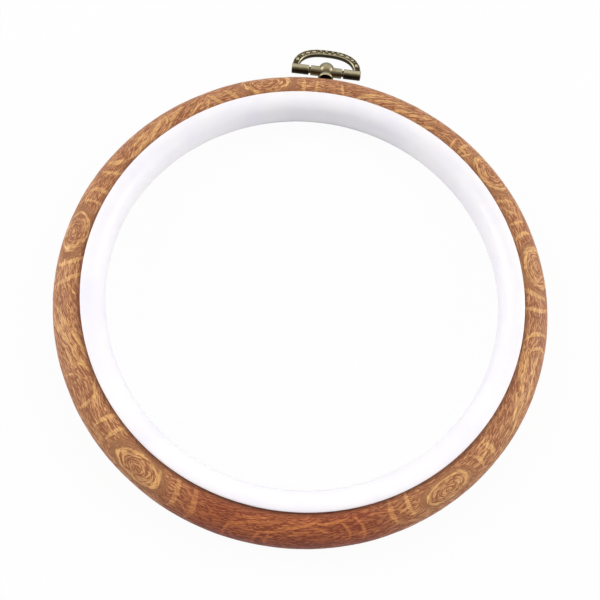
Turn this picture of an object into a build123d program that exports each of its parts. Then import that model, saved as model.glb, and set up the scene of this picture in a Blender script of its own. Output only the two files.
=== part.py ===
"""Embroidery hoop with a hinged hanging loop.

A rigid inner ring sits in a stretchy outer ring, which carries a small metal hanger. Lengths are in
millimetres. The hoop's axis is Z, its mid-height is Z = 0, and the hanger stands out towards +Y.
"""
import os
from math import acos, cos, degrees, pi, sin

from build123d import *

# Hoop
SEAM_RADIUS = 75.0
SEAM_GAP = 0.15

# Inner ring
INNER_TOP = 7.5
INNER_RIDGE_DEPTH = 5.8
INNER_RIDGE_HEIGHT = 3.2
INNER_LAND_BOTTOM = -1.0
INNER_FOOT_DEPTH = 2.8
INNER_UNDERSIDE = -7.5
INNER_EDGE = 0.3
LIP_REACH = 1.8
LIP_HEIGHT = 1.5

# Outer ring
OUTER_HALF_HEIGHT = 7.25
OUTER_BORE_HALF_HEIGHT = 4.6
OUTER_CROWN_DEPTH = 3.2
OUTER_WIDTH = 10.7

# Hanger stem, turned about the Y axis
HINGE_FROM_RING = 5.7
STEM_RADIUS = 1.7
STEM_SOCKET_DEPTH = 3.2
STEM_SOCKET_GAP = 0.05
BALL_RADIUS = 3.35
BALL_HALF_HEIGHT = 3.1
BALL_FLAT_RADIUS = 0.4
BALL_OFFSET = 0.5
BELL_RIM_RADIUS = 3.15
BELL_RIM_FROM_RING = 1.7
BELL_SKIRT = 1.0
BELL_WALL = 0.5
BELL_HOLLOW = 1.1
BELL_SHOULDER = 0.4
BELL_NECK_RADIUS = 2.3
CROSS_TUBE_RADIUS = 1.9
CROSS_TUBE_REACH = 6.4
CROSS_TUBE_EDGE = 0.25

# Bail and its pin
KNUCKLE_RADIUS = 1.85
KNUCKLE_START = 7.0
KNUCKLE_END = 14.05
KNUCKLE_EDGE = 0.3
ARCH_HALF_WIDTH = 13.95
ARCH_HEIGHT = 10.3
ARCH_FULLNESS = 2.55
ARCH_SIDE_BAND = 2.6
ARCH_TOP_BAND = 2.4
ARCH_THICKNESS = 2.0
ARCH_POINTS = 13
PIN_RADIUS = 1.2
PIN_REACH = 13.9
PIN_CLEARANCE = 0.05
PIN_EDGE = 0.15

# Screw and washer, driven outwards from inside the outer ring
SCREW_RADIUS = 1.0
SCREW_CLEARANCE = 0.15
SCREW_LENGTH = 9.2
SCREW_HEAD_RADIUS = 2.0
SCREW_HEAD_HEIGHT = 1.5
SCREW_HEAD_CROWN = 0.6
SCREW_CROSS_WIDTH = 0.55
SCREW_CROSS_LENGTH = 2.4
SCREW_CROSS_DEPTH = 0.8
THREAD_FIT = 0.02
TAPPED_DEPTH = 5.6
WASHER_RADIUS = 2.5
WASHER_THICKNESS = 0.4
COUNTERBORE_RADIUS = 2.8
COUNTERBORE_DEPTH = 3.2

# How far a cutting tool runs past the face it cuts
OVERCUT = 1.0

OUTER_BORE_RADIUS = SEAM_RADIUS + SEAM_GAP
OUTER_RADIUS = SEAM_RADIUS + OUTER_WIDTH
HINGE_Y = OUTER_RADIUS + HINGE_FROM_RING
SOCKET_Y = OUTER_RADIUS - STEM_SOCKET_DEPTH
COUNTERBORE_Y = OUTER_BORE_RADIUS + COUNTERBORE_DEPTH


def turned_about_z(outline):
    """Turn a closed outline, drawn as radius and height, into a ring about Z."""
    return revolve(make_face(Plane.XZ * outline), Axis.Z)


def rod(radius, start, end, direction=(0, 1, 0)):
    """A round rod from start to end, measured from the origin along direction."""
    section = Plane(Vector(*direction) * start, z_dir=direction) * Circle(radius)
    return extrude(section, end - start, dir=direction)


def make_inner_ring():
    """Rolled top, short cylindrical land, a wall that leans outwards and a lip at the underside."""
    ridge = SEAM_RADIUS - INNER_RIDGE_DEPTH
    foot = SEAM_RADIUS - INNER_FOOT_DEPTH
    lip = SEAM_RADIUS + LIP_REACH
    lip_top = INNER_UNDERSIDE + LIP_HEIGHT
    outline = Curve() + [
        Line((SEAM_RADIUS, INNER_TOP - INNER_EDGE), (SEAM_RADIUS - INNER_EDGE, INNER_TOP)),
        EllipticalCenterArc(
            (SEAM_RADIUS - INNER_EDGE, INNER_RIDGE_HEIGHT),
            INNER_RIDGE_DEPTH - INNER_EDGE,
            INNER_TOP - INNER_RIDGE_HEIGHT,
            start_angle=90,
            arc_size=90,
        ),
        Polyline(
            (ridge, INNER_RIDGE_HEIGHT),
            (ridge, INNER_LAND_BOTTOM),
            (foot, INNER_UNDERSIDE + INNER_EDGE),
            (foot + INNER_EDGE, INNER_UNDERSIDE),
            (lip - INNER_EDGE, INNER_UNDERSIDE),
            (lip, INNER_UNDERSIDE + INNER_EDGE),
            (lip, lip_top),
            (SEAM_RADIUS, lip_top),
            (SEAM_RADIUS, INNER_TOP - INNER_EDGE),
        ),
    ]
    return turned_about_z(outline)


def make_outer_ring():
    """Round-nosed band with a rabbet for the inner ring's lip and a stepped hole for the hanger."""
    crown = SEAM_RADIUS + OUTER_CROWN_DEPTH
    roll_width = crown - OUTER_BORE_RADIUS
    roll_height = OUTER_HALF_HEIGHT - OUTER_BORE_HALF_HEIGHT
    nose = EllipticalCenterArc(
        (crown, 0), OUTER_RADIUS - crown, OUTER_HALF_HEIGHT, start_angle=-90, arc_size=180
    )
    upper_roll = EllipticalCenterArc(
        (crown, OUTER_BORE_HALF_HEIGHT), roll_width, roll_height, start_angle=90, arc_size=90
    )
    lower_roll = EllipticalCenterArc(
        (crown, -OUTER_BORE_HALF_HEIGHT), roll_width, roll_height, start_angle=180, arc_size=90
    )
    bore = Line(
        (OUTER_BORE_RADIUS, OUTER_BORE_HALF_HEIGHT), (OUTER_BORE_RADIUS, -OUTER_BORE_HALF_HEIGHT)
    )
    ring = turned_about_z(Curve() + [nose, upper_roll, bore, lower_roll])
    rabbet_top = INNER_UNDERSIDE + LIP_HEIGHT + SEAM_GAP
    rabbet = rod(OUTER_BORE_RADIUS + LIP_REACH, INNER_UNDERSIDE - OVERCUT, rabbet_top, (0, 0, 1))
    socket = rod(STEM_RADIUS + STEM_SOCKET_GAP, SOCKET_Y, OUTER_RADIUS + OVERCUT)
    screw_hole = rod(SCREW_RADIUS + SCREW_CLEARANCE, SEAM_RADIUS, OUTER_RADIUS)
    counterbore = rod(COUNTERBORE_RADIUS, SEAM_RADIUS - OVERCUT, COUNTERBORE_Y)
    return ring - rabbet - socket - screw_hole - counterbore


def make_hanger_stem():
    """Stem, bell, neck and ball turned in one, with a cross tube bored for the pin."""
    rim_y = OUTER_RADIUS + BELL_RIM_FROM_RING
    skirt_y = rim_y + BELL_SKIRT
    ball_y = HINGE_Y + BALL_OFFSET
    neck_angle = -acos(BELL_NECK_RADIUS / BALL_RADIUS)
    flat_angle = acos(BALL_FLAT_RADIUS / BALL_RADIUS)
    neck_y = ball_y + BALL_HALF_HEIGHT * sin(neck_angle)
    flat_y = ball_y + BALL_HALF_HEIGHT * sin(flat_angle)
    outline = Curve() + [
        Polyline(
            (BALL_FLAT_RADIUS, flat_y),
            (0, flat_y),
            (0, SOCKET_Y),
            (STEM_RADIUS, SOCKET_Y),
            (STEM_RADIUS, rim_y + BELL_HOLLOW),
            (BELL_RIM_RADIUS - BELL_WALL, rim_y),
            (BELL_RIM_RADIUS, rim_y),
            (BELL_RIM_RADIUS, skirt_y),
            (BELL_NECK_RADIUS, skirt_y + BELL_SHOULDER),
            (BELL_NECK_RADIUS, neck_y),
        ),
        EllipticalCenterArc(
            (0, ball_y),
            BALL_RADIUS,
            BALL_HALF_HEIGHT,
            start_angle=degrees(neck_angle),
            arc_size=degrees(flat_angle - neck_angle),
        ),
    ]
    turned = revolve(make_face(outline), Axis.Y)
    tube = Rot(0, 90, 0) * Cylinder(CROSS_TUBE_RADIUS, 2 * CROSS_TUBE_REACH)
    tube = chamfer(tube.edges().filter_by(GeomType.CIRCLE), CROSS_TUBE_EDGE)
    pin_hole = Rot(0, 90, 0) * Cylinder(
        PIN_RADIUS + PIN_CLEARANCE, 2 * (CROSS_TUBE_REACH + OVERCUT)
    )
    tapped = rod(SCREW_RADIUS + THREAD_FIT, SOCKET_Y, SOCKET_Y + TAPPED_DEPTH)
    hinge = Pos(0, HINGE_Y, 0)
    return turned + hinge * tube - hinge * pin_hole - tapped


def arch_outline(half_width, height):
    """Closed outline of a full arch that stands on the hinge axis."""
    points = []
    for step in range(ARCH_POINTS):
        angle = pi * step / (ARCH_POINTS - 1)
        across = abs(cos(angle)) ** (2 / ARCH_FULLNESS)
        along = sin(angle) ** (2 / ARCH_FULLNESS)
        side = 1 if cos(angle) >= 0 else -1
        points.append((side * half_width * across, height * along))
    points[-1] = (-half_width, 0)
    curve = Spline(*points, tangents=[(0, 1), (0, -1)])
    return make_face(Curve() + [curve, Line((-half_width, 0), (half_width, 0))])


def make_bail():
    """Flat arch with a knuckle at each foot, bored for the pin."""
    outside = arch_outline(ARCH_HALF_WIDTH, ARCH_HEIGHT)
    inside = arch_outline(ARCH_HALF_WIDTH - ARCH_SIDE_BAND, ARCH_HEIGHT - ARCH_TOP_BAND)
    bail = extrude(outside - inside, ARCH_THICKNESS / 2, both=True)
    knuckle_length = KNUCKLE_END - KNUCKLE_START
    for side in (-1, 1):
        knuckle = Rot(0, 90, 0) * Cylinder(KNUCKLE_RADIUS, knuckle_length)
        knuckle = chamfer(knuckle.edges().filter_by(GeomType.CIRCLE), KNUCKLE_EDGE)
        bail += Pos(side * (KNUCKLE_START + knuckle_length / 2), 0, 0) * knuckle
    bail -= Rot(0, 90, 0) * Cylinder(PIN_RADIUS, 2 * (KNUCKLE_END + OVERCUT))
    return Pos(0, HINGE_Y, 0) * bail


def make_hinge_pin():
    """Straight pin with its ends eased, just short of the knuckles' outer faces."""
    pin = Rot(0, 90, 0) * Cylinder(PIN_RADIUS, 2 * PIN_REACH)
    pin = chamfer(pin.edges().filter_by(GeomType.CIRCLE), PIN_EDGE)
    return Pos(0, HINGE_Y, 0) * pin


def make_hanger_screw():
    """Pan-head screw with a cross recess, its head towards the hoop's centre."""
    seat_y = COUNTERBORE_Y - WASHER_THICKNESS
    head_y = seat_y - SCREW_HEAD_HEIGHT
    head = rod(SCREW_HEAD_RADIUS, head_y, seat_y)
    head = fillet(head.edges().filter_by(GeomType.CIRCLE).sort_by(Axis.Y)[0], SCREW_HEAD_CROWN)
    slot = Box(SCREW_CROSS_LENGTH, 2 * SCREW_CROSS_DEPTH, SCREW_CROSS_WIDTH)
    cross = slot + Rot(0, 90, 0) * slot
    shank = rod(SCREW_RADIUS, seat_y, seat_y + SCREW_LENGTH)
    return head + shank - Pos(0, head_y, 0) * cross


def make_screw_washer():
    """Flat washer on the floor of the counterbore."""
    washer_y = COUNTERBORE_Y - WASHER_THICKNESS
    disc = rod(WASHER_RADIUS, washer_y, COUNTERBORE_Y)
    return disc - rod(SCREW_RADIUS + SCREW_CLEARANCE, washer_y - OVERCUT, COUNTERBORE_Y + OVERCUT)


SUB_PARTS = {
    "inner_ring": make_inner_ring,
    "outer_ring": make_outer_ring,
    "hanger_stem": make_hanger_stem,
    "bail": make_bail,
    "hinge_pin": make_hinge_pin,
    "hanger_screw": make_hanger_screw,
    "screw_washer": make_screw_washer,
}

os.makedirs("parts", exist_ok=True)
for name, make in SUB_PARTS.items():
    shape = make()
    export_step(shape, f"parts/{name}.step")
    print(name, round(shape.volume, 2), "mm3")
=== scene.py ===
"""Embroidery hoop with a printed wood ring, a pale inner ring and a bronze hanging loop.

Everything is in metres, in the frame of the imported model: the hoop's axis is Z, its mid-height is
Z = 0, and the hanger stands out towards +Y. Sizes written with MM are millimetres.
"""

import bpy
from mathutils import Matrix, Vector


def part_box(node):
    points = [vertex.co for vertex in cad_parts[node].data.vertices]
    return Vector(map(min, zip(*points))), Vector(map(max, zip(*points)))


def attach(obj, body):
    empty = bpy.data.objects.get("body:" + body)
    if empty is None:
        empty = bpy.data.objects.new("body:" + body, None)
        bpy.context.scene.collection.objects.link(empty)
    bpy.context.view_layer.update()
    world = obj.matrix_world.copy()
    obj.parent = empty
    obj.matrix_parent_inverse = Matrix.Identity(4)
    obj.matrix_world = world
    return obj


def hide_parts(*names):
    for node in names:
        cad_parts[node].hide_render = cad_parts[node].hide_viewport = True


bl_info = {
    "name": "Embroidery Hoop",
    "version": (1, 0, 0),
    "blender": (4, 5, 0),
    "location": "View3D > Sidebar > Hoop",
    "description": "Builds an embroidery hoop with a printed wood ring and a bronze hanging loop",
    "category": "Add Mesh",
}

from functools import partialmethod
from math import acos, asin, cos, degrees, hypot, pi, radians, sin

import bmesh
import bpy
from bpy.props import FloatProperty, FloatVectorProperty, IntProperty, PointerProperty
from mathutils import Matrix, Vector, noise

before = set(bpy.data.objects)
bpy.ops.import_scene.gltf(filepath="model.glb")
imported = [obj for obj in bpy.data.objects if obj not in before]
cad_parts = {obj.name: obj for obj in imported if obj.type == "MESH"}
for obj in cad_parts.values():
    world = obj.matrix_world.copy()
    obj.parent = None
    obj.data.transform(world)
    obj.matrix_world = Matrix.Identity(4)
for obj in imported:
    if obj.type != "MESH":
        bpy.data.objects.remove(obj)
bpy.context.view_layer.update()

MM = 0.001

# The rings, from the frame
OUTER_RADIUS, _, HALF_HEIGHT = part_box("outer_ring")[1]
LIP_RADIUS, _, INNER_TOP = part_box("inner_ring")[1]
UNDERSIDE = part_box("inner_ring")[0].z
FLOOR_GAP = 0.02 * MM
FLOOR_WHITENESS = 0.94

# Section of the rings
SEAM_RADIUS = OUTER_RADIUS - 10.7 * MM
SEAM_GAP = 0.15 * MM
CROWN_RADIUS = SEAM_RADIUS + 3.2 * MM
BORE_RADIUS = SEAM_RADIUS + SEAM_GAP
BORE_HALF_HEIGHT = 4.6 * MM
BORE_MARGIN = 0.05 * MM
LIP_TOP = UNDERSIDE + 1.5 * MM
RIDGE_RADIUS = SEAM_RADIUS - 5.8 * MM
RIDGE_HEIGHT = 3.2 * MM
LAND_BOTTOM = -1.0 * MM
FOOT_RADIUS = SEAM_RADIUS - 2.8 * MM
EASED_EDGE = 0.3 * MM
# How the wood ring's face wanders: waves to a metre, and where it starts beside crown and stem
SLOW_WAVES = 60
QUICK_WAVES = 260
QUICK_SHARE = 0.45
CROWN_FADE = 2 * MM
STEM_FADE = 5 * MM
STEM_CALM = 0.6

# The hanger, from the frame
PIN_LOW, PIN_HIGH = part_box("hinge_pin")
HINGE_Y = (PIN_LOW.y + PIN_HIGH.y) / 2
PIN_RADIUS = (PIN_HIGH.z - PIN_LOW.z) / 2
STEM_SOCKET_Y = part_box("hanger_stem")[0].y
CROSS_TUBE_REACH, BALL_TOP_Y, BALL_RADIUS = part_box("hanger_stem")[1]
KNUCKLE_END, ARCH_TOP_Y, KNUCKLE_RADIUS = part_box("bail")[1]
ARCH_HEIGHT = ARCH_TOP_Y - HINGE_Y
WASHER_BACK_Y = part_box("screw_washer")[1].y

# Stem
STEM_RADIUS = 1.7 * MM
BALL_HALF_HEIGHT = 3.1 * MM
BALL_Y = HINGE_Y + 0.5 * MM
BELL_RIM_Y = OUTER_RADIUS + 1.7 * MM
BELL_RIM_RADIUS = 3.15 * MM
BELL_SKIRT = 1.0 * MM
BELL_SHOULDER = 0.4 * MM
BELL_WALL = 0.5 * MM
BELL_HOLLOW = 1.1 * MM
BELL_NECK_RADIUS = 2.3 * MM
CROSS_TUBE_RADIUS = 1.9 * MM
CROSS_TUBE_EDGE = 0.25 * MM
TAPPED_RADIUS = 1.02 * MM
TAPPED_DEPTH = 5.6 * MM
PIN_HOLE_RADIUS = PIN_RADIUS + 0.05 * MM
SOCKET_RADIUS = STEM_RADIUS + 0.05 * MM
COUNTERBORE_RADIUS = 2.8 * MM
SCREW_HOLE_RADIUS = 1.15 * MM

# Bail
ARCH_HALF_WIDTH = KNUCKLE_END - 0.1 * MM
ARCH_SIDE_BAND = 2.6 * MM
ARCH_TOP_BAND = 2.4 * MM
ARCH_HALF_THICKNESS = 1.0 * MM
ARCH_FULLNESS = 2.55
KNUCKLE_START = 7.0 * MM
KNUCKLE_EDGE = 0.28 * MM
SCALLOP_PITCH = 2.6 * MM
SCALLOP_DEPTH = 0.02

# How burnished the bronze is, from 0 to 1, with painted light and shade mixed in: a pair is the least
# and the most
# Painted shade inside the bell's hollow
HOLLOW_SHADE = 0.05
LIP_POLISH = 1.0
STEM_POLISH = 0.62
# The ball and tube pairs run from painted shade underneath to painted light on top
BALL_LIGHT_AND_SHADE = (0.3, 0.8)
TUBE_LIGHT_AND_SHADE = (0.09, 0.84)
TUBE_END_POLISH = 0.85
# Painted shade in the corners where the tubes meet the ball
CORNER_SHADE = (0.35, 1.0)
BAND_POLISH = (0.12, 1.0)
BAND_EDGE_POLISH = 0.16
# How far the painted shade in the corner beside the ball reaches along a tube
CORNER_SHADE_REACH = 0.9 * MM
# The direction that the painted lit side of a tube faces, and how soon the painted light comes on
TUBE_LIT_UP = 0.88
TUBE_LIT_OUT = 0.47
TUBE_LIGHTING = 1.2
TUBE_LIT_FROM = 0.04

# Wood print: places run clockwise from the hanger, seen from above, in degrees, and across the ring
# from the seam over the crown to the nose, in millimetres. Past FOLD_ACROSS the print is mirrored and
# moved along the ring.
PRINT_RADIUS = 80.0
SECTION_CORE = 79.5
NOSE_ACROSS = 16.1
ACROSS_PER_RADIAN = 6.9
FOLD_ACROSS = 12.5
FOLD_STAGGER = radians(13)
# Figures: place, across, lean from the ring's own direction, half length, half width, and a bend
# where there is one
EYES = (
    (53.3, 6.7, 0, 7.3, 4.4), (81.5, 7.2, 0, 7.2, 4.3), (142.8, 6.5, 0, 7.1, 2.9),
    (214, 6.6, 0, 7.4, 3.7), (274.8, 6.4, 0, 7, 4.3), (343.4, 6.6, 0, 8.4, 5),
)
KNOTS = ((238.3, 6.3, 0, 1.5, 1.1), (46.5, 9.8, 0, 1.4, 1), (190, 10.2, 0, 1.8, 1.1))
CROSS_STROKES = (
    (5, 3.8, 112, 2.2, 0.6), (40, 3.4, 102, 2.8, 0.45, -0.1), (42.9, 4.2, 95, 3, 0.85, -0.08),
    (45.2, 3.2, 62, 2.2, 0.45, 0.1), (47.8, 5.4, 104, 2.9, 0.9, -0.12), (61.7, 3.8, 66, 3.6, 0.65),
    (65.3, 4.4, 42, 2, 0.4), (68.6, 4.8, 92, 3.2, 0.6), (72.1, 4.8, 106, 3.9, 0.8, -0.06),
    (76.4, 5.9, 97, 3, 1.15, -0.13), (88.7, 4.4, 64, 4.8, 0.85, 0.05),
    (92.9, 4.8, 88, 5.2, 0.75, 0.07), (99, 5.2, 116, 4.8, 0.75, -0.08),
    (102.2, 7, 104, 3.6, 0.75, -0.1), (129.2, 5.8, 100, 3, 0.95, -0.1),
    (133, 5.6, 106, 2.8, 0.75, -0.1), (137.9, 6.2, 92, 2.7, 0.95, -0.15),
    (152.4, 4.6, 90, 3.8, 0.7, 0.08), (156.6, 4.5, 90, 3.8, 0.9, 0.08),
    (163.2, 7, 98, 4.2, 0.6, -0.09), (166.4, 6.6, 108, 2.6, 0.6, -0.1),
    (183.7, 9.8, 80, 2.4, 0.5, 0.1), (185.8, 9.6, 80, 3, 0.5, 0.1), (192.2, 9.6, 80, 3.2, 0.5, 0.1),
    (199.7, 6, 98, 5.4, 0.9, -0.06), (204.1, 5.6, 99, 4.8, 0.85, -0.07),
    (208.8, 5.8, 92, 3.2, 0.85, -0.12), (223.2, 4, 76, 3.8, 0.7, 0.05),
    (226.9, 4, 76, 4, 0.7, 0.03), (232.2, 5.4, 106, 4.8, 0.65, -0.08),
    (239.8, 7.8, 75, 1.9, 0.4, 0.2), (262.3, 4.8, 114, 5.6, 0.8, -0.02),
    (266.7, 4.8, 112, 4.8, 0.8, -0.05), (270.5, 6.2, 100, 3.4, 0.8, -0.12),
    (283.7, 3.8, 90, 3.8, 0.7, 0.07), (287.4, 3.9, 95, 4.2, 0.95, 0.09),
    (292.8, 4.2, 115, 4, 0.65, -0.04), (295.8, 5.2, 121, 3.8, 0.9, -0.06),
    (313.6, 4.8, 60, 1.8, 0.45), (328.8, 3.2, 126, 4.2, 0.75), (333.6, 3.2, 129, 4.6, 0.75),
    (338.9, 3.8, 138, 3.6, 0.65, 0.03), (354, 3.2, 86, 3.6, 0.7), (357.6, 3.2, 90, 3.4, 0.6),
)
LONG_STROKES = (
    (11, 2.6, 18, 5.5, 0.5), (14, 4.7, 15, 4.5, 0.45), (18, 4.1, 18, 5, 0.5),
    (21.5, 2.1, 20, 6, 0.5), (27.5, 4, 20, 5, 0.45), (31, 2.4, 20, 4, 0.4), (80.5, 1.6, 2, 8, 0.4),
    (108.5, 4.1, 5, 6.5, 0.6, 0.012), (107, 2.3, 4, 7, 0.4, 0.01), (106.6, 7, -8, 4, 0.5),
    (114.6, 6, 22, 6, 0.7), (117.8, 5.4, 20, 5, 0.6), (111.8, 8, 6, 5.5, 0.6),
    (121, 8.4, 16, 5, 0.6), (169.8, 3.9, 4, 4.5, 0.42), (174.6, 3.9, 12, 4.5, 0.42),
    (178.2, 5.1, 8, 6, 0.42), (172.8, 5.4, -12, 3, 0.4, 0.04), (176.3, 6.5, 10, 3.4, 0.45),
    (183.6, 4.4, 6, 6, 0.5), (188.8, 5.7, 17, 5.2, 0.5), (186.6, 3.6, 10, 3.5, 0.4),
    (183, 6.8, 10, 4, 0.4), (235, 2.2, 155, 2.8, 0.5), (243, 4.1, 16, 6, 0.6),
    (246.6, 2.9, 18, 6, 0.45), (243.6, 6.5, 12, 5, 0.45), (249.6, 7.3, 23, 5.8, 0.7),
    (253.6, 6.9, 29, 5.2, 0.7), (252, 9.6, 20, 3.6, 0.6), (259.6, 3.5, 30, 2.4, 0.35),
    (303.2, 2.6, 4, 7, 0.7, 0.012), (309.9, 4.4, 20, 6.4, 0.75), (311.2, 1.8, 20, 4.8, 0.55),
    (304.8, 5.2, 6, 4.5, 0.45), (316.6, 5.2, 22, 4, 0.6), (321.4, 2.7, 24, 4.5, 0.4),
    (325.4, 2.3, 42, 2.4, 0.35),
)
# Flow of the fine grain: place in degrees and how far, in millimetres, its lines have moved across
FLOW_REACH = 60.0
FLOW = (
    (0, 0), (5, 0), (38, 16), (60, 15), (100, 14), (104, 13), (118, 17), (130, 21), (165, 21),
    (195, 25), (228, 25), (236, 23), (262, 33), (290, 33), (298, 31), (326, 43), (360, 43),
)
EYE_ASPECT = 4.2
FLOW_WOBBLE = 1.2
# How far the figures are pulled about, coarsely and finely: along the ring in radians, and across it
PULL_ALONG = (0.012, 0.008)
PULL_ACROSS = (1.4, 0.4)
# Layers of noise along the grain: length, thickness, and a shift that sets each layer apart
GRAINS = {
    "sway": (6, 6, 3.1),
    "ragged": (1.3, 1.3, 9.4),
    "drift": (8, 8, 17.7),
    "wobble": (5, 5, 23),
    "dashes": (2.6, 0.27, 5),
    "threads": (3.8, 0.52, 57),
    "fine": (1.8, 0.24, 71),
    "breaks": (4, 2, 31),
    "flames": (4.6, 0.42, 43),
    "tone": (14, 5, 83),
}
# Light and dark rings from an eye's or a knot's middle to past its outline, at 0.5: place, lightness
EYE_RINGS = (
    (0, 0.3), (0.1, 0.3), (0.14, 0.45), (0.18, 0.15), (0.24, 0.2), (0.27, 0.6), (0.3, 0.2),
    (0.35, 0.2), (0.38, 0.65), (0.41, 0.25), (0.45, 0.35), (0.48, 0.85), (0.53, 0.85), (0.58, 0),
)
KNOT_RINGS = ((0.2, 0), (0.4, 0.9), (0.6, 0))
# What a measure is spread over: where it starts and ends, and the shares there if not 0 and 1
SPREADS = {
    "in_eye": (1.1, 1.5, 1, 0),
    "bands": (1.9, 0.35),
    "breaks": (0.36, 0.56, 0.75, 1),
    "flames": (0.52, 0.62, 0, 0.5),
    "teeth": (0.44, 0.6),
    "figure": (0, 1.2),
    "dashes": (0.53, 0.6),
    "threads": (0.075, 0.03),
    "fine": (0.5, 0.64, 0, 0.45),
    "marks_on_figure": (0.3, 1, 1, 0.55),
    "heart": (0.45, 0.2),
    "tone": (0.35, 0.65, 0, 0.3),
    # The nose's share of the painted shade opposite the hanger
    "nose": (7.5, 11.5, 0, 0.8),
    # Partly painted shade: the darker rolled edge next to the seam
    "rolled": (0.4, 3.2, 0.55, 0),
    "roughness": (0, 1, 0.42, 0.58),
}
TEETH = 0.3
FIGURE_GAIN = 0.4
MARK_STRENGTH = 0.85
FIGURE_RISE = 0.4
# Painted shade: where the ring is painted darker and redder, opposite the hanger
WARM_SHADE_MIDDLE = radians(180.0)
WARM_SHADE_REACH = (radians(14.0), radians(34.0))

# Photograph's camera: place, and turn about the three axes of the view
CAMERA_PLACE = Vector((-7.02, -63.89, 172.51)) * MM
CAMERA_ELEVATION = radians(71.6543)
CAMERA_ROLL = radians(11.3337)
HOOP_TURN = radians(5.47)
CAMERA_ANGLE = radians(59.738)


def srgb(red, green, blue):
    """A colour as it looks on screen, 0 to 255, as the linear values that shaders take."""
    def linear(value):
        value /= 255
        return value / 12.92 if value <= 0.04045 else ((value + 0.055) / 1.055) ** 2.4

    return (linear(red), linear(green), linear(blue), 1.0)


def colour_property(name, description, colour):
    """A colour to set in the sidebar."""
    return FloatVectorProperty(
        name=name, description=description, subtype="COLOR", size=4, min=0, max=1, default=colour
    )


def length_property(name, description, metres):
    """A length to set in the sidebar."""
    return FloatProperty(
        name=name, description=description, default=metres, min=0, unit="LENGTH", precision=5
    )


def steps_property(steps):
    """How finely a ring is divided, to set in the sidebar."""
    return IntProperty(
        name="Steps", description="Faces around the ring", default=steps, min=64, max=1200
    )


class WoodRingSettings(bpy.types.PropertyGroup):
    """Mesh and colours of the wood-printed outer ring."""

    steps: steps_property(900)
    unevenness: length_property("Unevenness", "How far the moulded face wanders", 0.09 * MM)
    light: colour_property("Light figure", "Tan of the bands and eyes", srgb(228, 175, 111))
    middle: colour_property("Ground", "Brown between the figures", srgb(209, 151, 101))
    dark: colour_property("Streaks", "Dark dashes of the grain", srgb(128, 68, 40))
    # Painted shade: this redder, darker tint is multiplied in opposite the hanger, most on the nose
    warm_shade_colour: colour_property("Warm side", "Redder tint opposite the hanger", srgb(217, 172, 152))
    # Partly painted shade: the darker brown of the rolled edge and the bore stands both for its own
    # colour and for the shade in the crease between the rings
    edge: colour_property("Rolled edge", "Darker brown next to the seam", srgb(156, 106, 82))


class PaleRingSettings(bpy.types.PropertyGroup):
    """Mesh and colour of the inner ring."""

    steps: steps_property(360)
    colour: colour_property("Colour", "Pale plastic", srgb(246, 243, 246))


class HangerSettings(bpy.types.PropertyGroup):
    """Sizes and colours of the bronze hanger."""

    relief: length_property("Relief", "Height of the ornament on the bail", 0.45 * MM)
    # The burnished colour is also the painted light on the tops of the ball and tubes
    bright: colour_property("Burnished", "Bronze on the high places", srgb(166, 157, 128))
    dull: colour_property("Patina", "Bronze on open faces", srgb(88, 79, 58))
    # The recess colour is also the painted shade under the ball and tubes, inside the bell and beside
    # the ball
    deep_patina_and_shade: colour_property("Recess", "Dark patina in the low places", srgb(36, 30, 23))
    # A dark brownish steel colour for the hinge pin
    pin: colour_property("Pin", "Darkened steel of the hinge pin", srgb(84, 74, 58))


class StageSettings(bpy.types.PropertyGroup):
    """Lights and floor."""

    floor_reach: length_property("Floor reach", "Half the width of the floor", 4.0)
    top_light: FloatProperty(
        name="Top light", description="Wide lamp overhead", default=7.4, min=0, unit="POWER"
    )
    side_light: FloatProperty(
        name="Side lights", description="Lamps at left and right", default=4.0, min=0, unit="POWER"
    )
    ambient: FloatProperty(
        name="Ambient", description="Strength of the room's light", default=0.5, min=0
    )


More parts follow.
